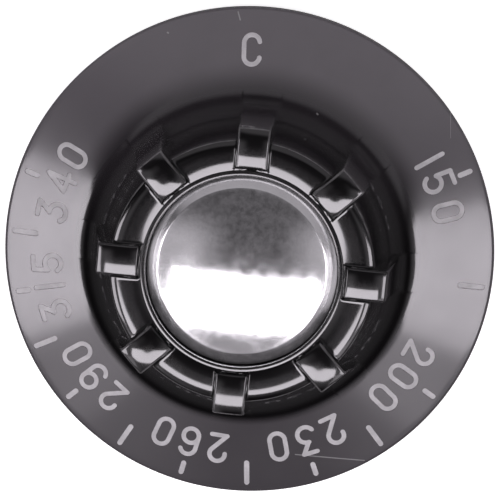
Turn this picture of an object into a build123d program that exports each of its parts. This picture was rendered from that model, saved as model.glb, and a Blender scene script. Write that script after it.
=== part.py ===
# Control knob: a moulded temperature dial with a sloping skirt, a ribbed hub, a polished face disc
# and a leaf spring in its shaft hole. Lengths are in millimetres and angles in degrees.
# The shaft axis is +Z, the face looks up, +Y points to the closed mark, and z = 0 is the rear rim.
import os
from math import asin, cos, degrees, radians, sin, sqrt, tan

from build123d import *

# Skirt that carries the scale
skirt_diameter = 63.5
skirt_edge_height = 2.4
skirt_edge_chamfer = 0.3
skirt_slope = 15.0
skirt_thickness = 2.3
rear_land_width = 2.0
rear_edge_chamfer = 0.3

# Hub between the ribs
hub_base_diameter = 42.8
hub_flare_radius = 4.6
hub_wall_draft = 12.0
hub_wall_thickness = 2.1
shoulder_diameter = 32.8
shoulder_edge_chamfer = 0.2
crown_diameter = 29.2
crown_height = 18.3
crown_radius = 12.0

# Lip and recess round the face disc
lip_outer_diameter = 25.2
lip_inner_diameter = 24.0
lip_rise = 0.1
recess_depth = 1.8
face_wall_thickness = 2.5

# Grip ribs
rib_count = 8
rib_turn = -4.5
rib_width = 4.0
rib_side_draft = 2.0
rib_inner_radius = 12.85
rib_outer_radius = 18.0
rib_base_radius = 19.9
rib_pillow_radius = 11.0
rib_pillow_centre = 15.5
rib_rise = 0.7
rib_corner_chamfer = 0.3
rib_root_depth = 0.8

# Shaft boss and its webs
boss_diameter = 11.4
boss_recess = 1.5
bore_diameter = 6.4
bore_depth = 11.0
bore_mouth_diameter = 7.6
bore_mouth_length = 3.5
bore_flat_distance = 2.45
web_thickness = 1.8
web_recess = 6.0
web_root = 0.8

# Leaf spring and the slot behind the flat that holds it
spring_slot_width = 3.8
spring_slot_depth = 3.3
spring_width = 3.4
spring_thickness = 0.35
spring_end_gap = 0.2
spring_foot_length = 0.9
spring_bow = 0.5

# Face disc
disc_gap = 0.1
disc_thickness = 0.6
disc_edge_rise = 0.7
disc_border_width = 1.35
disc_border_rise = 0.4
disc_dome_rise = 0.9
disc_edge_chamfer = 0.2

skirt_radius = skirt_diameter / 2
slope = tan(radians(skirt_slope))
hub_base_radius = hub_base_diameter / 2
hub_base_height = skirt_edge_height + (skirt_radius - hub_base_radius) * slope

# Flare from the skirt up into the hub wall: its centre, its upper end and a point half way round
flare_x = hub_base_radius + hub_flare_radius * sin(radians(skirt_slope))
flare_z = hub_base_height + hub_flare_radius * cos(radians(skirt_slope))
flare_turn = (90 - skirt_slope + hub_wall_draft) / 2
wall_foot_x = flare_x - hub_flare_radius * cos(radians(hub_wall_draft))
wall_foot_z = flare_z - hub_flare_radius * sin(radians(hub_wall_draft))
flare_mid_x = flare_x - hub_flare_radius * cos(radians(flare_turn))
flare_mid_z = flare_z - hub_flare_radius * sin(radians(flare_turn))

# Crowned shoulder between the hub wall and the lip
crown_centre_x = crown_diameter / 2
crown_centre_z = crown_height - crown_radius
shoulder_x = shoulder_diameter / 2
shoulder_z = crown_centre_z + sqrt(crown_radius**2 - (shoulder_x - crown_centre_x) ** 2)
lip_outer_x = lip_outer_diameter / 2
lip_inner_x = lip_inner_diameter / 2
lip_height = crown_height + lip_rise
lip_foot_z = crown_centre_z + sqrt(crown_radius**2 - (lip_outer_x - crown_centre_x) ** 2)

# Recess for the disc, and the hollow back below it
recess_floor_height = lip_height - recess_depth
land_inner_x = skirt_radius - rear_land_width
land_inner_z = skirt_edge_height + rear_land_width * slope - skirt_thickness
ceiling_z = recess_floor_height - face_wall_thickness
wall_lean = (wall_foot_x - shoulder_x) / (shoulder_z - wall_foot_z)
hollow_top_x = wall_foot_x - (ceiling_z - wall_foot_z) * wall_lean - hub_wall_thickness
hollow_foot_x = wall_foot_x - hub_wall_thickness / 2
hollow_foot_z = skirt_edge_height + (skirt_radius - hollow_foot_x) * slope - skirt_thickness
hollow_lean = (hollow_foot_x - hollow_top_x) / (ceiling_z - hollow_foot_z)

# Ribs
rib_top_height = crown_height + rib_rise
pillow_centre_z = rib_top_height - rib_pillow_radius
pillow_drop_x = rib_outer_radius - rib_pillow_centre
pillow_edge_z = pillow_centre_z + sqrt(rib_pillow_radius**2 - pillow_drop_x**2)
rib_lean = (rib_base_radius - rib_outer_radius) / (pillow_edge_z - hub_base_height)
rib_low_z = hub_base_height - rib_root_depth
rib_high_z = rib_top_height + rib_root_depth
rib_low_x = rib_outer_radius + (pillow_edge_z - rib_low_z) * rib_lean
rib_high_x = rib_outer_radius - (rib_high_z - pillow_edge_z) * rib_lean
side_lean = tan(radians(rib_side_draft))
rib_low_width = rib_width + 2 * (pillow_edge_z - rib_low_z) * side_lean
rib_high_width = rib_width - 2 * (rib_high_z - pillow_edge_z) * side_lean

# Shaft hole
bore_radius = bore_diameter / 2
bore_end_z = boss_recess + bore_depth
flat_start_z = boss_recess + bore_mouth_length

# One rib, standing along +X, with a rounded top like a pillow's
with BuildPart() as pillow:
    with BuildSketch(Plane.XZ):
        with Locations((rib_pillow_centre, pillow_centre_z)):
            Circle(rib_pillow_radius)
            Rectangle(2 * rib_pillow_radius, pillow_centre_z, align=(Align.CENTER, Align.MAX))
    extrude(amount=rib_low_width, both=True)

with BuildPart() as rib:
    with BuildSketch(Plane.YZ.offset(rib_inner_radius)):
        Polygon(
            (-rib_low_width / 2, rib_low_z),
            (rib_low_width / 2, rib_low_z),
            (rib_high_width / 2, rib_high_z),
            (-rib_high_width / 2, rib_high_z),
            align=None,
        )
    extrude(amount=rib_low_x - rib_inner_radius)
    with BuildSketch(Plane.XZ):
        Polygon((rib_low_x, rib_low_z), (rib_low_x, rib_high_z), (rib_high_x, rib_high_z), align=None)
    extrude(amount=rib_low_width, both=True, mode=Mode.SUBTRACT)
    upright = rib.edges().filter_by(lambda edge: edge.length > rib_top_height / 2)
    chamfer(upright.sort_by(Axis.X)[-2:], rib_corner_chamfer)
    add(pillow.part, mode=Mode.INTERSECT)

# Moulded dial body
with BuildPart() as dial_body:
    with BuildSketch(Plane.XZ) as front_section:
        with BuildLine():
            Polyline(
                (0, recess_floor_height),
                (0, 0),
                (skirt_radius, 0),
                (skirt_radius, skirt_edge_height),
                (hub_base_radius, hub_base_height),
            )
            ThreePointArc(
                (hub_base_radius, hub_base_height),
                (flare_mid_x, flare_mid_z),
                (wall_foot_x, wall_foot_z),
            )
            Line((wall_foot_x, wall_foot_z), (shoulder_x, shoulder_z))
            ThreePointArc(
                (shoulder_x, shoulder_z),
                (crown_centre_x, crown_height),
                (lip_outer_x, lip_foot_z),
            )
            Polyline(
                (lip_outer_x, lip_foot_z),
                (lip_outer_x, lip_height),
                (lip_inner_x, lip_height),
                (lip_inner_x, recess_floor_height),
                (0, recess_floor_height),
            )
        make_face()
        for corner, size in (
            ((skirt_radius, skirt_edge_height), skirt_edge_chamfer),
            ((skirt_radius, 0), rear_edge_chamfer),
            ((shoulder_x, shoulder_z), shoulder_edge_chamfer),
        ):
            chamfer(front_section.vertices().sort_by_distance(corner)[0], size)
    revolve(axis=Axis.Z)
    with PolarLocations(0, rib_count, start_angle=rib_turn):
        add(rib.part)

    # Hollow back, left open round the boss
    with BuildSketch(Plane.XZ):
        with BuildLine():
            Polyline(
                (0, 0),
                (land_inner_x, 0),
                (land_inner_x, land_inner_z),
                (hollow_foot_x, hollow_foot_z),
                (hollow_top_x, ceiling_z),
                (0, ceiling_z),
                (0, 0),
            )
        make_face()
    revolve(axis=Axis.Z, mode=Mode.SUBTRACT)

    # Boss on the axis, and the four webs that tie it to the hub wall
    with Locations((0, 0, ceiling_z + web_root)):
        Cylinder(
            boss_diameter / 2,
            ceiling_z + web_root - boss_recess,
            align=(Align.CENTER, Align.CENTER, Align.MAX),
        )
    for web_plane in (Plane.XZ, Plane.YZ):
        web_foot_x = hollow_top_x + (ceiling_z - web_recess) * hollow_lean + web_root
        with BuildSketch(web_plane):
            Polygon(
                (-web_foot_x, web_recess),
                (web_foot_x, web_recess),
                (hollow_top_x + web_root, ceiling_z + web_root),
                (-hollow_top_x - web_root, ceiling_z + web_root),
                align=None,
            )
        extrude(amount=web_thickness / 2, both=True)

    # Shaft hole: a wider round mouth, then a flat on the side away from the closed mark
    with Locations((0, 0, boss_recess)):
        Cylinder(
            bore_mouth_diameter / 2,
            bore_mouth_length,
            align=(Align.CENTER, Align.CENTER, Align.MIN),
            mode=Mode.SUBTRACT,
        )
    with BuildSketch(Plane.XY.offset(flat_start_z)):
        Circle(bore_radius)
        with Locations((0, -bore_flat_distance)):
            Rectangle(bore_diameter, bore_radius, align=(Align.CENTER, Align.MAX), mode=Mode.SUBTRACT)
    extrude(amount=bore_end_z - flat_start_z, mode=Mode.SUBTRACT)
    with Locations((0, -bore_flat_distance, flat_start_z)):
        Box(
            spring_slot_width,
            2 * (spring_slot_depth - bore_flat_distance),
            bore_end_z - flat_start_z,
            align=(Align.CENTER, Align.CENTER, Align.MIN),
            mode=Mode.SUBTRACT,
        )

# Polished face disc: domed above, flat below, standing on the recess floor on its turned-down edge
disc_radius = lip_inner_x - disc_gap
disc_border_x = disc_radius - disc_border_width
disc_edge_height = recess_floor_height + disc_edge_rise
disc_border_height = disc_edge_height + disc_border_rise
disc_dome_height = disc_border_height + disc_dome_rise
disc_dome_radius = (disc_border_x**2 + disc_dome_rise**2) / (2 * disc_dome_rise)
disc_dome_angle = degrees(asin(disc_border_x / disc_dome_radius))
with BuildPart() as face_disc:
    with BuildSketch(Plane.XZ) as disc_section:
        with BuildLine():
            Polyline(
                (0, disc_border_height - disc_thickness),
                (disc_radius - disc_thickness, disc_border_height - disc_thickness),
                (disc_radius - disc_thickness, recess_floor_height),
                (disc_radius, recess_floor_height),
                (disc_radius, disc_edge_height),
                (disc_border_x, disc_border_height),
            )
            CenterArc(
                (0, disc_dome_height - disc_dome_radius),
                disc_dome_radius,
                90 - disc_dome_angle,
                disc_dome_angle,
            )
            Line((0, disc_dome_height), (0, disc_border_height - disc_thickness))
        make_face()
        outer_corner = disc_section.vertices().sort_by_distance((disc_radius, disc_edge_height))[0]
        chamfer(outer_corner, disc_edge_chamfer)
    revolve(axis=Axis.Z)

# Leaf spring: two flat feet against the back of the slot, bowed towards the shaft between them
spring_low_z = flat_start_z + spring_end_gap
spring_high_z = bore_end_z - spring_end_gap
spring_back = -spring_slot_depth
spring_front = spring_back + spring_thickness
spring_mid_z = (spring_low_z + spring_high_z) / 2
with BuildPart() as shaft_spring:
    with BuildSketch(Plane.YZ):
        with BuildLine():
            Polyline(
                (spring_back, spring_low_z + spring_foot_length),
                (spring_back, spring_low_z),
                (spring_front, spring_low_z),
                (spring_front, spring_low_z + spring_foot_length),
            )
            ThreePointArc(
                (spring_front, spring_low_z + spring_foot_length),
                (spring_front + spring_bow, spring_mid_z),
                (spring_front, spring_high_z - spring_foot_length),
            )
            Polyline(
                (spring_front, spring_high_z - spring_foot_length),
                (spring_front, spring_high_z),
                (spring_back, spring_high_z),
                (spring_back, spring_high_z - spring_foot_length),
            )
            ThreePointArc(
                (spring_back, spring_high_z - spring_foot_length),
                (spring_back + spring_bow, spring_mid_z),
                (spring_back, spring_low_z + spring_foot_length),
            )
        make_face()
    extrude(amount=spring_width / 2, both=True)

os.makedirs("parts", exist_ok=True)
dial_body.part.label = "dial_body"
export_step(dial_body.part, "parts/dial_body.step")
face_disc.part.label = "face_disc"
export_step(face_disc.part, "parts/face_disc.step")
shaft_spring.part.label = "shaft_spring"
export_step(shaft_spring.part, "parts/shaft_spring.step")
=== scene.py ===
from math import asin, atan2, cos, hypot, pi, radians, sin, sqrt, tan

import bmesh
import bpy
import numpy as np
from mathutils import Matrix, Vector
from mathutils.geometry import delaunay_2d_cdt


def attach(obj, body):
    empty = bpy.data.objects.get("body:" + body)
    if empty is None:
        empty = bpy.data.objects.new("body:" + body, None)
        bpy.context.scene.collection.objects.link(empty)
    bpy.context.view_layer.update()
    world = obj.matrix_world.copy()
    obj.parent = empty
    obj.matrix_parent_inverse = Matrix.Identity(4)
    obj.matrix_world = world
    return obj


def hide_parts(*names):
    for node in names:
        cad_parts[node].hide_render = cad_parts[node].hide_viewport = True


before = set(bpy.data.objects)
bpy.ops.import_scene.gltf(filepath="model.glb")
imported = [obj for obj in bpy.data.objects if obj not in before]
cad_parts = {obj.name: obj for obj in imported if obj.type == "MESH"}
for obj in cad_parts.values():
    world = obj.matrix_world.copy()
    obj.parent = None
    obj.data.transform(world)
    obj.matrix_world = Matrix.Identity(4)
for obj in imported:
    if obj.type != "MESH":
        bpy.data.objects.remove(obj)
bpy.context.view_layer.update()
MM = 0.001

# Sizes of the moulding, in millimetres and degrees
SKIRT_ANGLE, WALL_LEAN, RIB_DRAFT = 15, 12, 2
SKIRT_RADIUS, SKIRT_EDGE_Z, SLOPE = 31.75, 2.4, tan(radians(SKIRT_ANGLE))
EDGE_START, EDGE_ROUND, REAR_CHAMFER = (31.379, 2.499), 0.5, 0.3
LAND_INNER = 29.75
HUB_RING = 22.5
FLARE_CENTRE, FLARE_RADIUS = (23.597, 10.572), 5.783
WALL_FOOT = (17.940, 9.370)
SHOULDER_R, SHOULDER_ROUND = 16.4, 0.25
LIP_OUTER, LIP_INNER, LIP_Z, FLOOR_Z = 12.6, 12.0, 18.4, 16.6
LIP_ROUND_OUT, LIP_ROUND_IN = 0.06, 0.12
RIB_COUNT, RIB_TURN = 8, -4.5
RIB_INNER, RIB_OUTER, RIB_FOOT = 12.85, 18.0, 19.9
RIB_HALF, RIB_HALF_Z, RIB_ROUND = 2.0, 18.24, 0.3
ROOT_ROUND, ROOT_OUT = 0.25, 0.06
WELD = 1e-6

# Columns across half a rib: its top, its edge, its wall, the round at its root and the gap beside it
TOP_COLS, EDGE_COLS, WALL_COLS, ROOT_COLS, GAP_COLS = 8, 5, 4, 4, 14
WALL_FIRST = TOP_COLS + 1 + EDGE_COLS
ROOT_LAST = WALL_FIRST + WALL_COLS - 1 + ROOT_COLS


def cone_z(r):
    return SKIRT_EDGE_Z + (SKIRT_RADIUS - r) * SLOPE


def swell(places, slopes, crest, height):
    """Height of a surface from its falls per millimetre at given places, and its height at the crest."""
    x = np.linspace(places[0], places[-1], 2000)
    fall = np.interp(x, places, slopes)
    drop = np.concatenate([[0], np.cumsum((fall[1:] + fall[:-1]) / 2 * np.diff(x))])
    drop -= np.interp(crest, x, drop)
    return lambda r: height - np.interp(r, x, drop)


# The crown between the ribs, the pillow top along a rib, and the pillow top across it
TOP_SLOPES = [-0.22, -0.19, -0.06, -0.03, -0.025, -0.01, 0.127]
crown_z = swell([12.0, 12.5, 13.6, 14.0, 14.7, 15.0, 15.6, 16.6], TOP_SLOPES + [0.5], 15.04, 18.3)
pillow_z = swell([12.5, 12.9, 14.4, 14.8, 15.3, 15.6, 17.0, 18.8], TOP_SLOPES + [0.46], 15.7, 19.0)
across_z = swell([0, 0.35, 0.6, 1.9, 2.6], [0.0, 0.008, 0.03, 0.16, 0.26], 0.0, 0.0)


def steps(a, b, n):
    """n points from a to b, without a itself."""
    return [(a[0] + (b[0] - a[0]) * k / n, a[1] + (b[1] - a[1]) * k / n) for k in range(1, n + 1)]


def corner(p, to, onward, radius, n):
    """Start of the round at corner p between two directions, and the n points that follow it."""
    turn = to.angle_signed(onward)
    back = radius * tan(abs(turn) / 2)
    start = p - to * back
    side = Vector((to.y, -to.x)) if turn > 0 else Vector((-to.y, to.x))
    centre = start + side * radius
    arm = start - centre
    points = []
    for k in range(1, n + 1):
        a = -turn * k / n
        x, y = arm.x * cos(a) - arm.y * sin(a), arm.x * sin(a) + arm.y * cos(a)
        points.append((centre.x + x, centre.y + y))
    return (start.x, start.y), points


def gap_profile():
    """Section of the hub between two ribs, from the lip's foot out to the skirt, as (radius, height)."""
    fall = (crown_z(SHOULDER_R - 0.1) - crown_z(SHOULDER_R)) / 0.1
    to = Vector((1, -fall)).normalized()
    wall = Vector((WALL_FOOT[0] - SHOULDER_R, WALL_FOOT[1] - crown_z(SHOULDER_R))).normalized()
    start, edge = corner(Vector((SHOULDER_R, crown_z(SHOULDER_R))), to, wall, SHOULDER_ROUND, 6)
    section = [(r, crown_z(r)) for r in np.linspace(LIP_OUTER, 13.05, 12)]
    section += [(r, crown_z(r)) for r in np.linspace(13.05, start[0], 23)[1:]]
    section += edge
    section += steps(edge[-1], WALL_FOOT, 9)
    first, last = radians(180 + WALL_LEAN), radians(270 - SKIRT_ANGLE)
    for k in range(1, 15):
        a = first + (last - first) * k / 14
        section.append((FLARE_CENTRE[0] + FLARE_RADIUS * cos(a), FLARE_CENTRE[1] + FLARE_RADIUS * sin(a)))
    return section + steps(section[-1], (HUB_RING, cone_z(HUB_RING)), 2)


def rib_profile():
    """Section along the middle of a rib, with as many points as that, from the lip's foot to the skirt."""
    foot_z = crown_z(RIB_INNER)
    up = Vector((0.1, 1)).normalized()
    foot_start, foot = corner(Vector((RIB_INNER, foot_z)), Vector((1, 0)), up, 0.12, 3)
    head = Vector((RIB_INNER + 0.065, pillow_z(RIB_INNER + 0.065)))
    rise = (pillow_z(13.2) - pillow_z(13.0)) / 0.2
    head_start, brow = corner(head, up, Vector((1, rise)).normalized(), 0.25, 5)
    fall = (pillow_z(RIB_OUTER - 0.1) - pillow_z(RIB_OUTER)) / 0.1
    to = Vector((1, -fall)).normalized()
    top_corner = Vector((RIB_OUTER, pillow_z(RIB_OUTER)))
    bottom = Vector((RIB_FOOT, cone_z(RIB_FOOT)))
    wall = (bottom - top_corner).normalized()
    edge_start, edge = corner(top_corner, to, wall, RIB_ROUND, 6)
    toe_start, toe = corner(bottom, wall, Vector((1, -SLOPE)).normalized(), 1.8, 6)
    section = [(LIP_OUTER, crown_z(LIP_OUTER))]
    section += steps(section[0], foot_start, 2) + foot + steps(foot[-1], head_start, 1) + brow
    section += [(x, pillow_z(x)) for x in np.linspace(brow[-1][0], edge_start[0], 23)[1:]]
    section += edge
    share = (edge[-1][1] - WALL_FOOT[1]) / (edge[-1][1] - bottom.y)
    knee = tuple(Vector(edge[-1]).lerp(bottom, share))
    section += steps(edge[-1], knee, 9) + steps(knee, toe_start, 8) + toe
    return section + steps(toe[-1], (HUB_RING, cone_z(HUB_RING)), 2)


def outward(section):
    """Unit normals of a section that runs outwards, pointing out of the moulding."""
    p = np.array(section)
    t = np.gradient(p, axis=0)
    n = np.stack([-t[:, 1], t[:, 0]], 1)
    return n / np.linalg.norm(n, axis=1)[:, None]


def mesh_from(name, verts, faces, wear=None):
    mesh = bpy.data.meshes.new(name)
    mesh.from_pydata([tuple(float(c) * MM for c in v) for v in verts], [], faces)
    if wear is not None:
        mesh.attributes.new("wear", "FLOAT", "POINT").data.foreach_set("value", wear)
    return mesh


def lip_profile(foot_z):
    """Section of the lip round the disc, from its outer foot over it and down into the recess."""
    section = [(LIP_OUTER, foot_z + 0.06), (LIP_OUTER, LIP_Z - LIP_ROUND_OUT)]
    for k in range(1, 4):
        a, c = pi / 2 * k / 3, LIP_ROUND_OUT
        section.append((LIP_OUTER - c + c * cos(a), LIP_Z - c + c * sin(a)))
    for a in np.linspace(0, pi / 2, 4):
        c = LIP_ROUND_IN
        section.append((LIP_INNER + c - c * sin(a), LIP_Z - c + c * cos(a)))
    return section + [(LIP_INNER, FLOOR_Z), (LIP_INNER - 0.6, FLOOR_Z)]


def rib_sector():
    """One eighth of the hub: a rib along +X, half of the gap on each side, the lip and the disc's recess."""
    gap, rib = gap_profile(), rib_profile()
    gap_n, rib_n = outward(gap), outward(rib)
    rows = len(gap)
    fade_from, half_sector = rows - 14, pi / RIB_COUNT
    grid, worn = [], []
    for s in range(rows):
        (rx, rz), (gr, gz) = rib[s], gap[s]
        nr, ng = rib_n[s], gap_n[s]
        half_e = RIB_HALF + (RIB_HALF_Z - rz) * tan(radians(RIB_DRAFT))
        half_f = RIB_HALF + (RIB_HALF_Z - gz) * tan(radians(RIB_DRAFT))
        step = hypot(rx - sqrt(gr**2 - half_f**2), rz - gz)
        if s <= 2 or s >= rows - 2:
            step = 0
        f, g = min(RIB_ROUND, 0.4 * step), min(ROOT_ROUND, 0.4 * step)
        f_side, g_side = max(f, 0.05), max(g, 0.05)
        top_share = float(np.clip(nr[1], 0.25, 1)) if step else 0
        line = []
        for k in range(TOP_COLS + 1):
            y = (half_e - f_side) * k / TOP_COLS
            sink = -across_z(y) * top_share
            line.append((rx - nr[0] * sink, y, rz - nr[1] * sink))
        sink = -across_z(half_e - f_side) * top_share + f
        bx, bz = rx - nr[0] * sink, rz - nr[1] * sink
        for k in range(1, EDGE_COLS + 1):
            a = pi / 2 * k / EDGE_COLS
            y = half_e - f_side + f_side * sin(a)
            line.append((bx + nr[0] * f * cos(a), y, bz + nr[1] * f * cos(a)))
        cr, cz, cy = gr + ng[0] * g, gz + ng[1] * g, half_f + ROOT_OUT + g_side
        turn = asin(cy / cr)
        root = []
        for k in range(ROOT_COLS + 1):
            a = pi / 2 * k / ROOT_COLS
            x = sqrt(cr**2 - cy**2) - g * sin(a) * ng[0] * cos(turn)
            y = cy - g_side * cos(a) - g * sin(a) * ng[0] * sin(turn)
            root.append((x, y, cz - g * sin(a) * ng[1]))
        w0, w1 = Vector(line[-1]), Vector(root[0])
        line += [tuple(w0.lerp(w1, k / WALL_COLS)) for k in range(1, WALL_COLS)] + root
        start = atan2(root[-1][1], root[-1][0])
        for k in range(1, GAP_COLS + 1):
            a = start + (half_sector - start) * k / GAP_COLS
            line.append((gr * cos(a), gr * sin(a), gz))
        # The rows next to the lip and to the skirt run into full circles
        onto = {0: (LIP_OUTER, 1), 1: (LIP_OUTER, 0.5), rows - 2: (HUB_RING, 0.5), rows - 1: (HUB_RING, 1)}
        if s in onto:
            ring, share = onto[s]
            bent = []
            for k, (x, y, z) in enumerate(line):
                hold = min(1, max(0, (ROOT_LAST - k) / (ROOT_LAST - WALL_FIRST)))
                x2 = x + (sqrt(ring**2 - y**2) - x) * share * hold
                r2 = hypot(x2, y)
                if share == 1:
                    x2, y, r2 = x2 * ring / r2, y * ring / r2, ring
                bent.append((x2, y, float(crown_z(r2)) if s < 3 else cone_z(r2)))
            line = bent
        elif s > fade_from:
            # The foot of the rib fades into the flare
            share = min(1, (s - fade_from) / 11)
            share *= share * (3 - 2 * share)
            for k, (x, y, z) in enumerate(line):
                a = atan2(y, x)
                onward = (gr * cos(a) - x, gr * sin(a) - y, gz - z)
                line[k] = tuple(c + d * share for c, d in zip((x, y, z), onward))
        # Wear on the rib's edge and on the shoulder, by rows counted from the lip
        along = np.interp(s, [4, 7, 11, 38, 47], [0, 0.5, 1, 1, 0])
        rubbed = [0.0] * (TOP_COLS + 1) + [along * w for w in (0.4, 0.9, 1.0, 0.7, 0.2)]
        rubbed += [0.0] * (len(line) - WALL_FIRST)
        edge_row = float(np.interp(s, [33, 35, 37, 40], [0, 1, 1, 0]))
        rubbed = [w if WALL_FIRST <= k < ROOT_LAST else max(w, edge_row) for k, w in enumerate(rubbed)]
        worn.append(rubbed[:0:-1] + rubbed)
        grid.append([(x, -y, z) for x, y, z in reversed(line[1:])] + line)
    ring = [atan2(y, x) for x, y, z in grid[0]]
    lip = lip_profile(grid[0][0][2])
    inner = [[(r * cos(a), r * sin(a), z) for a in ring] for r, z in lip]
    grid = inner[::-1] + grid
    cols = len(ring)
    lip_wear = [0, 0.05, 0.15, 0.2, 0.15, 0.15, 0.2, 0.15, 0.05, 0, 0]
    verts = [p for line in grid for p in line]
    wear = [w for w in lip_wear[::-1] for _ in range(cols)]
    wear += [w for line in worn for w in line] + [0.0]
    faces = []
    for i in range(len(grid) - 1):
        for j in range(cols - 1):
            a = i * cols + j
            faces.append((a, a + cols, a + cols + 1, a + 1))
    verts.append((0, 0, FLOOR_Z))
    faces += [(j, j + 1, len(verts) - 1) for j in range(cols - 1)]
    return mesh_from("rib_sector", verts, faces, wear)


# Figures of the scale: single strokes with round ends, drawn upright about their middle
HALF_W, HALF_H = 1.0, 1.85


def bow(cx, cy, rx, ry, first, last):
    n = max(3, int(abs(last - first) / 12))
    return [(cx + rx * cos(radians(a)), cy + ry * sin(radians(a))) for a in np.linspace(first, last, n + 1)]


def figure_strokes(mark):
    w, h = HALF_W, HALF_H
    six = [bow(0, -0.83, w, 1.02, 0, 360), [(-w, -0.83)] + bow(0, h - 1.02, w, 1.02, 180, 25)]
    return {
        "0": [bow(0, h - w, w, w, 0, 180) + bow(0, w - h, w, w, 180, 360) + [(w, h - w)]],
        "1": [[(0, -h), (0, h)]],
        "2": [bow(0, h - w, w, w, 188, -38) + [(-w, -h)], [(-w, -h), (w, -h)]],
        "3": [[(-0.9, h), (0.9, h)], [(0.9, h), (-0.15, 0.38)], bow(-0.12, -0.76, 1.1, 1.09, 97, -152)],
        "4": [[(0.42, h), (0.42, -h)], [(0.42, h), (-1.1, -0.8)], [(-1.1, -0.8), (1.1, -0.8)]],
        "5": [[(-0.78, h), (0.9, h)], [(-0.78, h), (-0.84, 0.05)], bow(-0.02, -0.78, 1.06, 1.08, 140, -150)],
        "6": six,
        "9": [[(-x, -y) for x, y in stroke] for stroke in six],
        "C": [bow(0, h - w, w, w, 8, 180) + bow(0, w - h, w, w, 180, 352)],
    }[mark]


TICK_OUTER, TICK_SHORT, TICK_LONG = 30.45, 29.1, 27.65
FIGURE_HALF, TICK_HALF, WALL_STEP = 0.34, 0.38, 0.045
GROOVE = [(0.0, 0.0), (WALL_STEP, 0.075), (2 * WALL_STEP, 0.13)]
# Each reading: its tick, the radius of its figures and each figure, in degrees clockwise from the C
SCALE = {
    "C": (None, 26.4, [0.2]),
    "150": (68.3, 26.3, [61.3, 67.7, 76.6]),
    "200": (127.0, 25.6, [119.1, 127.2, 135.7]),
    "230": (162.2, 25.6, [153.3, 161.7, 170.2]),
    "260": (196.0, 25.9, [187.8, 196.2, 204.2]),
    "290": (229.9, 25.9, [222.1, 230.1, 238.2]),
    "315": (259.1, 26.1, [252.4, 259.4, 266.0]),
    "340": (289.2, 25.9, [281.4, 290.4, 298.3]),
}
HALF_MARKS = (97.1, 144.5, 179.5, 212.8, 244.8, 274.2)


def on_dial(angle, radius, u=0.0, v=0.0):
    a = radians(angle)
    return (sin(a) * (radius + v) + cos(a) * u, cos(a) * (radius + v) - sin(a) * u)


def scale_strokes():
    """Every stroke of the scale in plan: (points, half width, True for a figure)."""
    strokes, ticks = [], [(angle, TICK_LONG) for angle in HALF_MARKS]
    for reading, (tick, radius, places) in SCALE.items():
        for sign, angle in zip(reading, places):
            for line in figure_strokes(sign):
                strokes.append(([on_dial(angle, radius, u, v) for u, v in line], FIGURE_HALF, True))
        if tick is not None:
            ticks.append((tick, TICK_SHORT))
    for angle, inner in ticks:
        strokes.append(([on_dial(angle, inner), on_dial(angle, TICK_OUTER)], TICK_HALF, False))
    return strokes


def stroke_outline(points, half):
    """Closed loops at a given distance round a stroke: one with round ends, or two round a closed stroke."""
    p = np.array(points)
    closed = np.linalg.norm(p[0] - p[-1]) < 1e-6
    if closed:
        p = p[:-1]
        t = np.roll(p, -1, 0) - np.roll(p, 1, 0)
    else:
        t = np.gradient(p, axis=0)
    t /= np.linalg.norm(t, axis=1)[:, None]
    n = np.stack([-t[:, 1], t[:, 0]], 1) * half
    if closed:
        return [p + n, p - n]
    caps = []
    for q, d in ((p[-1], n[-1]), (p[0], -n[0])):
        a = -pi / 6 * np.arange(1, 6)[:, None]
        caps.append(q + d * np.cos(a) + np.stack([-d[1] * np.sin(a[:, 0]), d[0] * np.sin(a[:, 0])], 1))
    return [np.concatenate([p + n, caps[0], (p - n)[::-1], caps[1]])]


def stroke_depth(points, strokes):
    """Groove's depth at each point, and how far inside the edge of a figure and of a tick the point lies."""
    inside = np.full((len(points), 2), -9.0)
    for line, half, figure in strokes:
        p = np.array(line)
        near = np.flatnonzero(np.linalg.norm(points - p.mean(0), axis=1) < 3.2)
        if not len(near):
            continue
        q = points[near]
        for a, b in zip(p[:-1], p[1:]):
            ab = b - a
            k = np.clip(((q - a) @ ab) / (ab @ ab), 0, 1)[:, None]
            d = half - np.linalg.norm(q - a - k * ab, axis=1)
            col = 0 if figure else 1
            inside[near, col] = np.maximum(inside[near, col], d)
    best = inside.max(1)
    depth = np.interp(best, [g[0] for g in GROOVE] + [0.2], [g[1] for g in GROOVE] + [0.135])
    return np.where(best > 0.02, depth, 0.0), inside


def skirt_top(ring):
    """The sloping skirt with the scale cut into it, between the hub's outer ring and the skirt's edge."""
    strokes = scale_strokes()
    points, edges = [], []

    def loop(p):
        base = len(points)
        points.extend(map(tuple, p))
        edges.extend((base + i, base + (i + 1) % len(p)) for i in range(len(p)))

    loop(ring)
    loop([(EDGE_START[0] * cos(radians(k)), EDGE_START[0] * sin(radians(k))) for k in range(360)])
    for line, half, _ in strokes:
        for inset, _ in GROOVE:
            for outline in stroke_outline(line, half - inset):
                loop(outline)
    fill = []
    first, last, pitch, spacing, clear = 22.95, 31.1, 0.55, 0.6, 0.22
    for row, r in enumerate(np.arange(first, last, pitch)):
        count = int(2 * pi * r / spacing)
        for k in range(count):
            a = 2 * pi * (k + 0.5 * (row % 2)) / count
            fill.append((r * cos(a), r * sin(a)))
    fill = np.array(fill)
    far = stroke_depth(fill, strokes)[1].max(1) < -clear
    points.extend(map(tuple, fill[far]))
    verts, _, faces, _, _, _ = delaunay_2d_cdt([Vector(p) for p in points], edges, [], 0, 1e-7, False)
    plan = np.array([tuple(v) for v in verts])
    reach = np.hypot(plan[:, 0], plan[:, 1])
    faces = [f for f in faces if reach[list(f)].max() > HUB_RING + 0.01]
    depth, inside = stroke_depth(plan, strokes)
    return plan, cone_z(reach) - depth, faces, depth, inside


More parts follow.
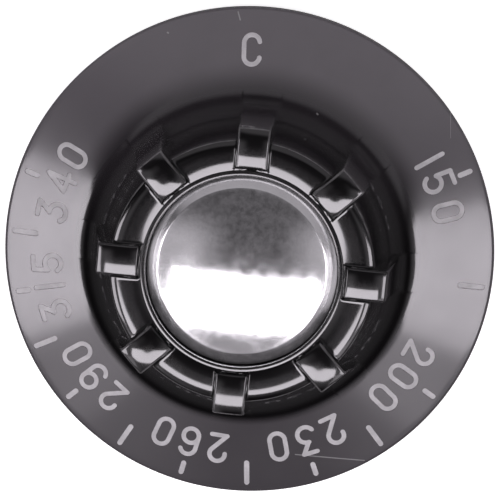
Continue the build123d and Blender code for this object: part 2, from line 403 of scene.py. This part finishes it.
def back_of_knob():
    """Faces of the hollow back, the shaft boss and its webs, taken from the solid, in millimetres."""
    bm = bmesh.new()
    bm.from_mesh(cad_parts["dial_body"].data)
    bmesh.ops.remove_doubles(bm, verts=bm.verts, dist=WELD)
    # The inner faces lie under the skirt, or within a cone that runs up inside the hub's wall
    hub_split, roof_z, cone_foot, cone_foot_z, cone_lean = 17.1, 14.15, 17.94, 4.04, 0.205
    drop = []
    for face in bm.faces:
        c = face.calc_center_median() / MM
        r = hypot(c.x, c.y)
        if r > hub_split:
            keep = r < LAND_INNER + 0.02 and c.z < cone_z(r) - 1.2
        else:
            keep = c.z < roof_z and r < cone_foot - max(c.z - cone_foot_z, 0) * cone_lean
        if not keep:
            drop.append(face)
    bmesh.ops.delete(bm, geom=drop, context="FACES")
    bm.verts.index_update()
    verts = [tuple(v.co / MM) for v in bm.verts]
    faces = [tuple(v.index for v in f.verts) for f in bm.faces]
    rim = [tuple(v.co / MM) for v in bm.verts if any(e.is_boundary for e in v.link_edges)]
    bm.free()
    rim.sort(key=lambda p: atan2(p[1], p[0]))
    return verts, faces, rim


def ring_band(sections, columns=360):
    """Quads between rings of equal columns, each given as (radius, height), innermost or top ring first."""
    turns = [radians(360 * k / columns) for k in range(columns)]
    verts = [(r * cos(a), r * sin(a), z) for r, z in sections for a in turns]
    faces = []
    for i in range(len(sections) - 1):
        for k in range(columns):
            a, b = i * columns + k, i * columns + (k + 1) % columns
            faces.append((a, a + columns, b + columns, b))
    return verts, faces


def input_socket(tree, name, kind, value=None):
    socket = tree.interface.new_socket(name, in_out="INPUT", socket_type=kind)
    if value is not None:
        socket.default_value = value
    return socket


def round_the_axis(material):
    """Tree that sets copies of a mesh round +Z, with inputs for their count, first turn and welding."""
    tree = bpy.data.node_groups.new("round_the_axis", "GeometryNodeTree")
    tree.interface.new_socket("Geometry", in_out="OUTPUT", socket_type="NodeSocketGeometry")
    input_socket(tree, "Geometry", "NodeSocketGeometry")
    input_socket(tree, "Count", "NodeSocketInt", RIB_COUNT)
    input_socket(tree, "First Turn", "NodeSocketFloat", 0.0)
    input_socket(tree, "Weld", "NodeSocketFloat", WELD)
    add, link = tree.nodes.new, tree.links.new
    put, out = add("NodeGroupInput"), add("NodeGroupOutput")
    points, index = add("GeometryNodePoints"), add("GeometryNodeInputIndex")
    pitch, turn = add("ShaderNodeMath"), add("ShaderNodeMath")
    spin, euler = add("ShaderNodeCombineXYZ"), add("FunctionNodeEulerToRotation")
    copies, real = add("GeometryNodeInstanceOnPoints"), add("GeometryNodeRealizeInstances")
    weld, paint = add("GeometryNodeMergeByDistance"), add("GeometryNodeSetMaterial")
    pitch.operation, turn.operation = "DIVIDE", "MULTIPLY_ADD"
    pitch.inputs[0].default_value = 2 * pi
    paint.inputs["Material"].default_value = material
    link(put.outputs["Count"], points.inputs["Count"])
    link(put.outputs["Count"], pitch.inputs[1])
    link(index.outputs[0], turn.inputs[0])
    link(pitch.outputs[0], turn.inputs[1])
    link(put.outputs["First Turn"], turn.inputs[2])
    link(turn.outputs[0], spin.inputs["Z"])
    link(spin.outputs[0], euler.inputs[0])
    link(points.outputs[0], copies.inputs["Points"])
    link(put.outputs["Geometry"], copies.inputs["Instance"])
    link(euler.outputs[0], copies.inputs["Rotation"])
    link(copies.outputs[0], real.inputs[0])
    link(real.outputs[0], weld.inputs["Geometry"])
    link(put.outputs["Weld"], weld.inputs["Distance"])
    link(weld.outputs[0], paint.inputs["Geometry"])
    link(paint.outputs[0], out.inputs[0])
    return tree


def grown(name, mesh, tree, **sizes):
    """Plain mesh of a tree run on a mesh, with its inputs set by their identifiers."""
    obj = bpy.data.objects.new(name, mesh)
    bpy.context.scene.collection.objects.link(obj)
    mod = obj.modifiers.new("grow", "NODES")
    mod.node_group = tree
    for item in tree.interface.items_tree:
        key = item.name.replace(" ", "_").lower()
        if item.in_out == "INPUT" and key in sizes:
            mod[item.identifier] = sizes[key]
    bpy.context.view_layer.update()
    depsgraph = bpy.context.evaluated_depsgraph_get()
    made = bpy.data.meshes.new_from_object(obj.evaluated_get(depsgraph))
    bpy.data.objects.remove(obj)
    made.name = name
    return made


class Nodes:
    """Shorthand for building the nodes of a material or the world."""

    def __init__(self, owner, shader="Principled BSDF", place="Object"):
        owner.use_nodes = True
        self.owner, self.tree = owner, owner.node_tree
        self.shader = self.tree.nodes[shader]
        self.place = self.add("ShaderNodeTexCoord").outputs[place]

    def add(self, kind, **settings):
        node = self.tree.nodes.new(kind)
        for key, value in settings.items():
            setattr(node, key, value)
        return node

    def link(self, a, b):
        self.tree.links.new(a, b)

    def feed(self, socket, value):
        if hasattr(value, "is_output"):
            self.link(value, socket)
        else:
            socket.default_value = value

    def math(self, operation, a, b=0.0, clamp=False):
        node = self.add("ShaderNodeMath", operation=operation, use_clamp=clamp)
        self.feed(node.inputs[0], a)
        self.feed(node.inputs[1], b)
        return node.outputs[0]

    def noise(self, scale, detail=2.0, rough=0.5, place=None):
        node = self.add("ShaderNodeTexNoise")
        node.inputs["Scale"].default_value = scale
        node.inputs["Detail"].default_value = detail
        node.inputs["Roughness"].default_value = rough
        self.link(place or self.place, node.inputs["Vector"])
        return node.outputs["Fac"]

    def ramp(self, value, low, high, to_low=0.0, to_high=1.0):
        node = self.add("ShaderNodeMapRange", interpolation_type="SMOOTHSTEP")
        for name, v in (("From Min", low), ("From Max", high), ("To Min", to_low), ("To Max", to_high)):
            node.inputs[name].default_value = v
        self.link(value, node.inputs["Value"])
        return node.outputs["Result"]

    def blend(self, share, a, b):
        node = self.add("ShaderNodeMix", data_type="RGBA")
        self.feed(node.inputs["Factor"], share)
        for socket, value in ((node.inputs[6], a), (node.inputs[7], b)):
            if hasattr(value, "is_output"):
                self.link(value, socket)
            else:
                socket.default_value = (*value, 1)
        return node.outputs[2]

    def mix(self, share, a, b):
        node = self.add("ShaderNodeMix", data_type="FLOAT")
        for socket, value in zip(node.inputs[:1] + node.inputs[2:4], (share, a, b)):
            self.feed(socket, value)
        return node.outputs[0]

    def vector(self, operation, a, b=None):
        node = self.add("ShaderNodeVectorMath", operation=operation)
        self.feed(node.inputs[0], a)
        if b is not None:
            self.feed(node.inputs["Scale" if operation == "SCALE" else 1], b)
        return node.outputs["Value" if operation in ("LENGTH", "DISTANCE", "DOT_PRODUCT") else "Vector"]

    def plan(self):
        """Place in plan, in millimetres."""
        return self.vector("MULTIPLY", self.place, (1000, 1000, 0))

    def bump(self, height, strength, distance, under=None):
        node = self.add("ShaderNodeBump")
        node.inputs["Strength"].default_value = strength
        node.inputs["Distance"].default_value = distance
        self.link(height, node.inputs["Height"])
        if under:
            self.link(under, node.inputs["Normal"])
        return node.outputs["Normal"]

    def scratch(self, a, b, width):
        """1 on a straight line between two points of the plan (millimetres), 0 a width away from it."""
        a, b = Vector((*a, 0)), Vector((*b, 0))
        rel = self.vector("SUBTRACT", self.plan(), a)
        dot = self.vector("DOT_PRODUCT", rel, (b - a) / (b - a).length_squared)
        along = self.vector("SCALE", b - a, self.math("ADD", dot, 0.0, clamp=True))
        return self.ramp(self.vector("DISTANCE", rel, along), width * 0.3, width, 1.0, 0.0)


# Scratches and specks in plan, in millimetres: both ends and the width
SCRATCHES = [
    ((6.6, -26.3), (15.6, -27.1), 0.10),
    ((-1.8, 31.1), (-1.5, 30.1), 0.12),
    ((25.6, 19.0), (25.7, 15.5), 0.035),
    ((-10.8, 28.3), (-10.7, 28.25), 0.14),
    ((8.6, 18.6), (8.7, 18.5), 0.16),
]


def black_moulding_finish():
    """Glossy black on the hub, a duller greyish surface on the skirt, rubbed edges and a few scratches.
    Painted light makes the skirt lighter towards +Y and the hub's black lighter on that side; painted shade
    runs the hub's black out over the skirt there.
    """
    n = Nodes(bpy.data.materials.new("black_moulding_gloss"))
    radius = n.vector("LENGTH", n.plan())
    across = n.add("ShaderNodeSeparateXYZ")
    n.link(n.place, across.inputs[0])
    forward = across.outputs["Y"]
    skirt = n.ramp(radius, 21.0, 22.4)
    # Painted shade: on the +Y side the hub's black runs out over the skirt to about 25 mm, a dark band
    # beside the hub
    n.link(n.ramp(forward, -0.012, 0.014, 22.4, 25.2), skirt.node.inputs["From Max"])
    cloud = n.ramp(n.noise(60, 4, 0.6), 0.3, 0.7)
    hub_black = n.blend(cloud, (0.0024, 0.0021, 0.0024), (0.0045, 0.004, 0.0045))
    # Painted light: from its wall outwards the hub's black is lighter on the +Y side
    painted_hub_light = n.math("MULTIPLY", n.ramp(forward, 0.0, 0.018), n.ramp(radius, 17.0, 19.5))
    hub_black = n.blend(painted_hub_light, hub_black, (0.03, 0.0265, 0.03))
    # Painted light: the skirt is lighter towards +Y and darker towards -Y
    painted_skirt_light = n.ramp(forward, -0.028, 0.03)
    skirt_black = n.blend(painted_skirt_light, (0.067, 0.0625, 0.0675), (0.125, 0.117, 0.126))
    skirt_black = n.blend(n.math("MULTIPLY", cloud, 0.25), skirt_black, (0.07, 0.066, 0.0705))
    base = n.blend(skirt, hub_black, skirt_black)
    marks = None
    for a, b, w in SCRATCHES:
        line = n.scratch(a, b, w)
        marks = line if marks is None else n.math("MAXIMUM", marks, line)
    base = n.blend(n.math("MULTIPLY", marks, 0.8), base, (0.3, 0.3, 0.3))
    wear = n.add("ShaderNodeAttribute", attribute_name="wear").outputs["Fac"]
    rubbed = n.math("MULTIPLY", wear, n.ramp(n.noise(500, 3, 0.6), 0.25, 0.65, 0.35, 1.0))
    rubbed = n.math("MULTIPLY", rubbed, n.ramp(n.math("ABSOLUTE", forward), 0.003, 0.007, 0.25, 1.0))
    n.link(n.blend(rubbed, base, (0.15, 0.147, 0.15)), n.shader.inputs["Base Color"])
    fine = n.ramp(n.noise(240, 3, 0.6), 0.25, 0.75)
    hub_dull = n.math("ADD", n.math("MULTIPLY", fine, 0.05), 0.05)
    skirt_dull = n.math("ADD", n.math("MULTIPLY", fine, 0.06), 0.2)
    worn = n.math("MULTIPLY", n.math("MAXIMUM", marks, rubbed), 0.3)
    n.link(n.math("ADD", n.mix(skirt, hub_dull, skirt_dull), worn), n.shader.inputs["Roughness"])
    n.shader.inputs["IOR"].default_value = 1.54
    n.shader.inputs["Coat Weight"].default_value = 1.0
    n.shader.inputs["Coat Roughness"].default_value = 0.12
    n.shader.inputs["Coat IOR"].default_value = 1.5
    n.link(n.bump(n.noise(350, 1, 0.4), 0.03, 0.00003), n.shader.inputs["Normal"])
    return n.owner


def moulded_back_finish():
    """Matt black of the unpolished back."""
    n = Nodes(bpy.data.materials.new("black_moulding_back"))
    cloud = n.ramp(n.noise(90, 4, 0.6), 0.3, 0.7)
    n.link(n.blend(cloud, (0.016, 0.015, 0.016), (0.028, 0.026, 0.028)), n.shader.inputs["Base Color"])
    n.link(n.ramp(n.noise(300, 3, 0.6), 0.25, 0.75, 0.3, 0.45), n.shader.inputs["Roughness"])
    n.link(n.bump(n.noise(1500, 3, 0.6), 0.12, 0.00004), n.shader.inputs["Normal"])
    n.shader.inputs["IOR"].default_value = 1.54
    return n.owner


def polished_metal_finish():
    """Old polished metal: mirror-like under a thin mottled haze, duller on its turned edge."""
    n = Nodes(bpy.data.materials.new("polished_aluminium"))
    tint = n.ramp(n.noise(180, 5, 0.65), 0.3, 0.7)
    n.link(n.blend(tint, (0.78, 0.78, 0.79), (0.86, 0.86, 0.87)), n.shader.inputs["Base Color"])
    n.link(n.ramp(n.noise(1300, 5, 0.7), 0.3, 0.7, 0.86, 0.94), n.shader.inputs["Metallic"])
    edge = n.ramp(n.vector("LENGTH", n.plan()), 9.8, 10.6, 0.0, 0.08)
    polish = n.ramp(n.noise(420, 4, 0.6), 0.25, 0.75, 0.07, 0.13)
    n.link(n.math("ADD", polish, edge), n.shader.inputs["Roughness"])
    ripple = n.bump(n.noise(90, 1, 0.4), 0.014, 0.0004)
    n.link(n.bump(n.noise(2200, 2, 0.5), 0.06, 0.00003, ripple), n.shader.inputs["Normal"])
    return n.owner


def scale_paint_finish():
    n = Nodes(bpy.data.materials.new("scale_paint"))
    worn = n.ramp(n.noise(700, 3, 0.6), 0.3, 0.7)
    n.link(n.blend(worn, (0.5, 0.494, 0.5), (0.63, 0.623, 0.63)), n.shader.inputs["Base Color"])
    n.link(n.ramp(n.noise(1200, 2, 0.5), 0.3, 0.7, 0.5, 0.7), n.shader.inputs["Roughness"])
    n.link(n.bump(n.noise(2500, 2, 0.5), 0.15, 0.00003), n.shader.inputs["Normal"])
    return n.owner


def spring_steel_finish():
    n = Nodes(bpy.data.materials.new("spring_steel_satin"))
    cloud = n.ramp(n.noise(500, 4, 0.6), 0.3, 0.7)
    n.link(n.blend(cloud, (0.36, 0.36, 0.38), (0.5, 0.5, 0.52)), n.shader.inputs["Base Color"])
    n.shader.inputs["Metallic"].default_value = 1.0
    n.link(n.ramp(n.noise(900, 3, 0.6), 0.3, 0.7, 0.28, 0.42), n.shader.inputs["Roughness"])
    return n.owner


def pale_floor_finish():
    """Pale floor that is brightest round the knob: a painted pool of light, paler there and glowing, which
    washes out the knob's shadow.
    """
    n = Nodes(bpy.data.materials.new("pale_floor"))
    fade = n.ramp(n.vector("LENGTH", n.place), 0.07, 0.3)
    # Painted light: paler round the knob, greyer farther out
    n.link(n.blend(fade, (0.94, 0.94, 0.94), (0.5, 0.5, 0.5)), n.shader.inputs["Base Color"])
    n.shader.inputs["Emission Color"].default_value = (1, 1, 1, 1)
    # Painted light: the floor glows round the knob though it is no lamp
    near = n.math("MULTIPLY", n.math("SUBTRACT", 1.0, fade), 0.8)
    n.link(near, n.shader.inputs["Emission Strength"])
    n.shader.inputs["Roughness"].default_value = 0.9
    n.shader.inputs["Specular IOR Level"].default_value = 0.1
    return n.owner


def show(name, mesh, *finishes):
    """Object of a finished mesh, shaded smooth up to its sharper edges."""
    for finish in finishes:
        mesh.materials.append(finish)
    mesh.polygons.foreach_set("use_smooth", [True] * len(mesh.polygons))
    mesh.set_sharp_from_angle(angle=radians(31))
    obj = bpy.data.objects.new(name, mesh)
    bpy.context.scene.collection.objects.link(obj)
    return obj


def skirt_rim():
    """Rounded edge of the skirt, down to the chamfer at the rear."""
    across, up = SKIRT_RADIUS - EDGE_ROUND, EDGE_START[1] - EDGE_ROUND * cos(radians(SKIRT_ANGLE))
    rows = [EDGE_START]
    for a in np.linspace(radians(90 - SKIRT_ANGLE), 0, 8)[1:]:
        rows.append((across + EDGE_ROUND * cos(a), up + EDGE_ROUND * sin(a)))
    rows += [(SKIRT_RADIUS, REAR_CHAMFER), (SKIRT_RADIUS - REAR_CHAMFER, 0.0)]
    return ring_band(rows)


def rear_land(rim):
    """Flat ring that the knob lies on, from the chamfer in to the rim of the hollow back."""
    outer = SKIRT_RADIUS - REAR_CHAMFER
    points = [Vector((outer * cos(radians(k)), outer * sin(radians(k)))) for k in range(360)]
    points += [Vector(p[:2]) for p in rim]
    edges = [(k, (k + 1) % 360) for k in range(360)]
    edges += [(360 + k, 360 + (k + 1) % len(rim)) for k in range(len(rim))]
    co, _, tris, _, _, _ = delaunay_2d_cdt(points, edges, [], 0, 1e-7, False)
    faces = [tuple(f)[::-1] for f in tris if max(co[i].length for i in f) > outer - 0.45]
    return [(v.x, v.y, 0.0) for v in co], faces


def welded(name, pieces, wear):
    """One mesh of several pieces, each given as (points, faces, material index)."""
    verts, faces, tags = [], [], []
    for points, polygons, tag in pieces:
        base = len(verts)
        verts += points
        faces += [tuple(i + base for i in face) for face in polygons]
        tags += [tag] * len(polygons)
    mesh = mesh_from(name, verts, faces, wear + [0.0] * (len(verts) - len(wear)))
    mesh.polygons.foreach_set("material_index", tags)
    bm = bmesh.new()
    bm.from_mesh(mesh)
    bmesh.ops.remove_doubles(bm, verts=bm.verts, dist=2 * WELD)
    bm.to_mesh(mesh)
    bm.free()
    return mesh


def paint_fill(keep, plan, depth):
    """Closed sliver of paint over the groove's floor: its top is level with the groove's shallower step."""
    used = sorted({i for f in keep for i in f})
    surface = cone_z(np.hypot(plan[used, 0], plan[used, 1]))
    top = {i: k for k, i in enumerate(used)}
    level, least, gap = GROOVE[1][1], 0.002, 0.003
    floor = np.maximum(depth[used] - gap, level + least)
    verts = [(*plan[i], surface[k] - level) for k, i in enumerate(used)]
    verts += [(*plan[i], surface[k] - floor[k]) for k, i in enumerate(used)]
    n = len(used)
    faces = [tuple(top[i] for i in f) for f in keep]
    faces += [tuple(top[i] + n for i in reversed(f)) for f in keep]
    seen = {(a, b) for f in keep for a, b in zip(f, (*f[1:], f[0]))}
    faces += [(top[b], top[a], top[a] + n, top[b] + n) for a, b in seen if (b, a) not in seen]
    return verts, faces


def disc_mesh():
    """Polished disc: a shallow dome with a turned-down border, seated a little unevenly."""
    top, dome, columns, tilt = 18.6, 62.0, 180, 0.013
    rim_r, border_r, border_slope, turn = 11.9, 11.7, radians(23.5), 0.8
    edge_r = 10.4
    edge_slope = asin(edge_r / dome)
    edge_z = top - dome + sqrt(dome**2 - edge_r**2)
    turned = []
    for a in np.linspace(border_slope, edge_slope, 6):
        z = edge_z + turn * (cos(a) - cos(edge_slope))
        turned.append((edge_r + turn * (sin(a) - sin(edge_slope)), z))
    border_z = turned[0][1] - (border_r - turned[0][0]) * tan(border_slope)
    rows = [(0.3, 17.4), (10.0, 16.75), (11.3, 16.65), (11.3, FLOOR_Z), (rim_r, FLOOR_Z), (rim_r, 16.7)]
    rows += [(rim_r, border_z - 0.2), (rim_r - 0.05, border_z - 0.08), (border_r, border_z)]
    rows += steps((border_r, border_z), turned[0], 5) + turned[1:]
    rows += [(r, top - dome + sqrt(dome**2 - r**2)) for r in np.linspace(10.15, 0.3, 36)]
    verts, faces = ring_band(rows[::-1], columns)
    faces += [tuple(range(columns)), tuple(range(len(verts) - columns, len(verts)))[::-1]]
    verts = [(x, y, z + tilt * y * min(1, max(0, (z - FLOOR_Z) / 0.6))) for x, y, z in verts]
    return mesh_from("face_disc_polished", verts, faces)


# Moulded body: ribbed hub, skirt with the engraved scale, rim and hollow back
gloss = black_moulding_finish()
ribs = dict(count=RIB_COUNT, first_turn=radians(RIB_TURN), weld=WELD)
hub = grown("hub", rib_sector(), round_the_axis(gloss), **ribs)
hub_co = np.array([v.co for v in hub.vertices]) / MM
hub_r = np.hypot(hub_co[:, 0], hub_co[:, 1])
ring = hub_co[np.abs(hub_r - HUB_RING) < 1e-3][:, :2]
ring = ring[np.argsort(np.arctan2(ring[:, 1], ring[:, 0]))]
plan, plan_z, plan_faces, depth, inside = skirt_top(ring)
back_verts, back_faces, back_rim = back_of_knob()
pieces = [
    ([tuple(v) for v in hub_co], [tuple(p.vertices) for p in hub.polygons], 0),
    ([(*p, z) for p, z in zip(plan, plan_z)], [tuple(f) for f in plan_faces], 0),
    (*skirt_rim(), 0),
    (*rear_land(back_rim), 1),
    (back_verts, back_faces, 1),
]
body_mesh = welded("knob_body", pieces, [w.value for w in hub.attributes["wear"].data])
knob_body = show("knob_body", body_mesh, gloss, moulded_back_finish())

# Paint in the figures and in the tick marks
paint_finish = scale_paint_finish()
kind = inside > WALL_STEP - 1e-3
for name, col in (("scale_figures", 0), ("scale_ticks", 1)):
    keep = [tuple(f) for f in plan_faces if all(kind[i, col] for i in f)]
    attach(show(name, mesh_from(name, *paint_fill(keep, plan, depth)), paint_finish), "root")

# Face disc, and the solid's own spring with a finish
disc = show("face_disc_polished", disc_mesh(), polished_metal_finish())
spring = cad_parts["shaft_spring"]
spring.data.materials.clear()
spring.data.materials.append(spring_steel_finish())

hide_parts("dial_body")
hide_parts("face_disc")
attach(knob_body, "root")
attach(disc, "root")

# Pale floor, plain studio light and the camera of the photograph
floor_mesh = bpy.data.meshes.new("floor")
corners = [(x, y, -2e-5) for x, y in ((-2, -2), (2, -2), (2, 2), (-2, 2))]
floor_mesh.from_pydata(corners, [], [(0, 1, 2, 3)])
floor = bpy.data.objects.new("floor", floor_mesh)
bpy.context.scene.collection.objects.link(floor)
floor_mesh.materials.append(pale_floor_finish())
floor.visible_glossy = False


LIGHT_AIM_Z = 0.015


def panel(name, toward, distance, wide, tall, radiance, roll=(0, 1, 0)):
    """Soft panel seen from the knob along a direction, lit so that its surface has a given radiance."""
    data = bpy.data.lights.new(name, "AREA")
    data.shape, data.size, data.size_y = "RECTANGLE", wide * distance, tall * distance
    data.energy = radiance * pi * data.size * data.size_y
    data.color = (1, 0.945, 1.01)
    obj = bpy.data.objects.new(name, data)
    d = Vector(toward).normalized()
    side = Vector(roll).cross(d).normalized()
    up = d.cross(side)
    obj.matrix_world = Matrix(((side.x, up.x, d.x, d.x * distance), (side.y, up.y, d.y, d.y * distance),
                               (side.z, up.z, d.z, d.z * distance + LIGHT_AIM_Z), (0, 0, 0, 1)))
    obj.visible_camera = False
    bpy.context.scene.collection.objects.link(obj)
    return obj


strip = (-0.045, -sin(radians(19.1)), cos(radians(19.1)))
panel("front_strip", strip, 0.6, 0.68, 0.25, 6.4, (0.08, 1, 0))
panel("left_panel", (-0.635, -0.145, 0.757), 0.6, 0.28, 0.49, 4.7)
panel("left_low", (-0.46, -0.49, 0.74), 0.6, 0.2, 0.2, 0.9)
panel("right_panel", (0.553, -0.205, 0.8), 0.6, 0.28, 0.41, 4.65)
panel("right_low", (0.37, -0.5, 0.78), 0.6, 0.2, 0.2, 1.2)

# Dim studio: soft glows behind the knob, at its sides and before it, and a faint one low down
sky = Nodes(bpy.data.worlds.new("studio"), "Background", "Generated")
split = sky.add("ShaderNodeSeparateXYZ")
sky.link(sky.place, split.inputs[0])
toward_x, toward_y, toward_z = split.outputs
slant = sky.math("ADD", toward_y, sky.math("MULTIPLY", toward_x, 0.2))
behind = sky.ramp(slant, 0.17, 0.32, 0, 0.34)
beside = sky.ramp(sky.math("ABSOLUTE", toward_x), 0.08, 0.32, 0, 0.42)
beside = sky.math("MULTIPLY", beside, sky.ramp(toward_y, -0.05, 0.1, 1, 0))
before = sky.ramp(toward_y, -0.45, -0.3, 0.26, 0)
before = sky.math("MULTIPLY", before, sky.ramp(toward_y, -0.68, -0.5))
glow = sky.math("MAXIMUM", sky.math("MAXIMUM", behind, beside), before)
glow = sky.math("MULTIPLY", glow, sky.ramp(toward_z, 0.5, 0.75))
above = sky.math("ADD", sky.ramp(toward_z, 0.7, 0.93, 0.015, 0.03), glow)
above = sky.math("ADD", above, sky.ramp(toward_z, 0.05, 0.42, 0.08, 0.0))
sky.link(above, sky.shader.inputs["Strength"])
sky.shader.inputs["Color"].default_value = (1, 0.95, 1.01, 1)
bpy.context.scene.world = sky.owner
bpy.context.scene.view_settings.view_transform = "Standard"

az, el, roll, reach = radians(71.4), radians(80.74), radians(-0.9), 0.35
FOCAL_PX, PICTURE_PX, SENSOR_MM = 2731.4, 500, 36
target = Vector((0.38, 0.89, 6.0)) * MM
back = Vector((cos(el) * cos(az), cos(el) * sin(az), sin(el)))
up = Vector((sin(roll), cos(roll), 0))
side = up.cross(back).normalized()
up = back.cross(side)
camera_data = bpy.data.cameras.new("camera")
camera_data.sensor_width, camera_data.lens = SENSOR_MM, FOCAL_PX / PICTURE_PX * SENSOR_MM
camera_data.clip_start, camera_data.clip_end = 0.01, 20
camera = bpy.data.objects.new("camera", camera_data)
place = target + back * reach
camera.matrix_world = Matrix(((side.x, up.x, back.x, place.x), (side.y, up.y, back.y, place.y),
                              (side.z, up.z, back.z, place.z), (0, 0, 0, 1)))
bpy.context.scene.collection.objects.link(camera)
bpy.context.scene.camera = camera
